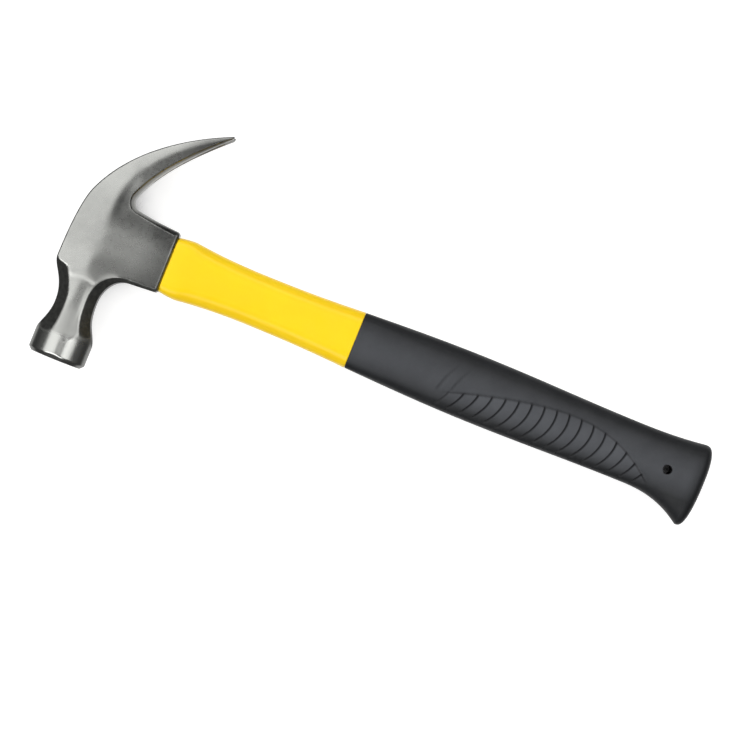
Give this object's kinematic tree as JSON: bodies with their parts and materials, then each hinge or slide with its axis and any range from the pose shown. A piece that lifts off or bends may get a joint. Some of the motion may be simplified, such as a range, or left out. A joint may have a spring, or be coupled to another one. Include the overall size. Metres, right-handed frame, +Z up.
{
  "type": "claw hammer",
  "caption": "Curved-claw hammer: forged steel head with round poll and nail slot, on a fibreglass handle with a yellow jacket and a ribbed black rubber grip.",
  "frame": {"origin": "under the middle of the hammer's box, on the plane that the hammer lies on", "axes": "+X along the handle from the head to the butt, +Y from the poll towards the claws, +Z up, across the cheeks"},
  "size_m": [0.3307, 0.1324, 0.03],
  "materials": {
    "steel": "polished forging with darker bevels",
    "fibreglass": "cut fibre ends",
    "epoxy": "poured, glossy",
    "jacket": "smooth, half gloss",
    "rubber": "matt, finely grained"
  },
  "bodies": {
    "root": {"head": "steel", "core": "fibreglass", "eye_bond": "epoxy", "jacket": "jacket", "grip": "rubber"}
  },
  "joints": []
}
